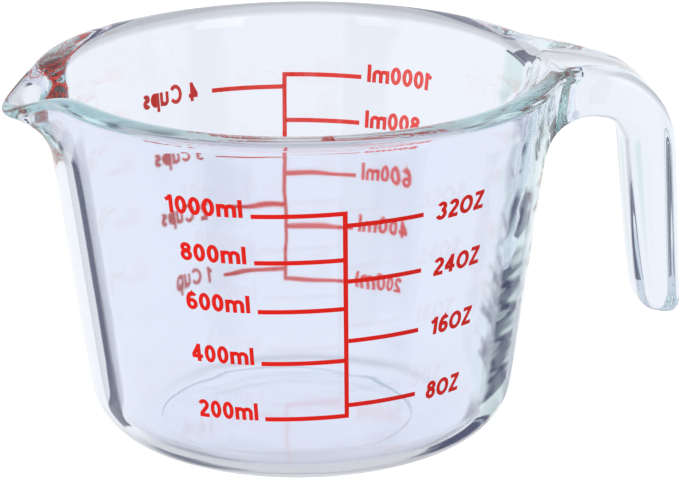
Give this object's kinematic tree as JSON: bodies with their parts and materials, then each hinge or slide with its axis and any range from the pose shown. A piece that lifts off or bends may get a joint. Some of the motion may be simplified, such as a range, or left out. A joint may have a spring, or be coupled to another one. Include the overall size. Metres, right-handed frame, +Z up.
{
  "type": "glass measuring jug",
  "caption": "Clear pressed-glass measuring jug with a pouring spout, an open strap handle and red printed ml, OZ and cup scales.",
  "frame": {"origin": "on the bowl's axis, in the plane of the foot ring that the jug stands on", "axes": "+Z up along the bowl's axis, +X towards the handle, -X towards the spout, -Y towards the front scale"},
  "size_m": [0.2068, 0.1578, 0.1138],
  "materials": {
    "clear_glass": "polished",
    "red_enamel": "satin"
  },
  "bodies": {
    "root": {"glass_jug": "clear_glass", "front_stem": "red_enamel", "front_ml_ticks": "red_enamel", "front_oz_ticks": "red_enamel", "rear_stem": "red_enamel", "rear_cup_ticks": "red_enamel", "rear_ml_ticks": "red_enamel"}
  },
  "joints": []
}
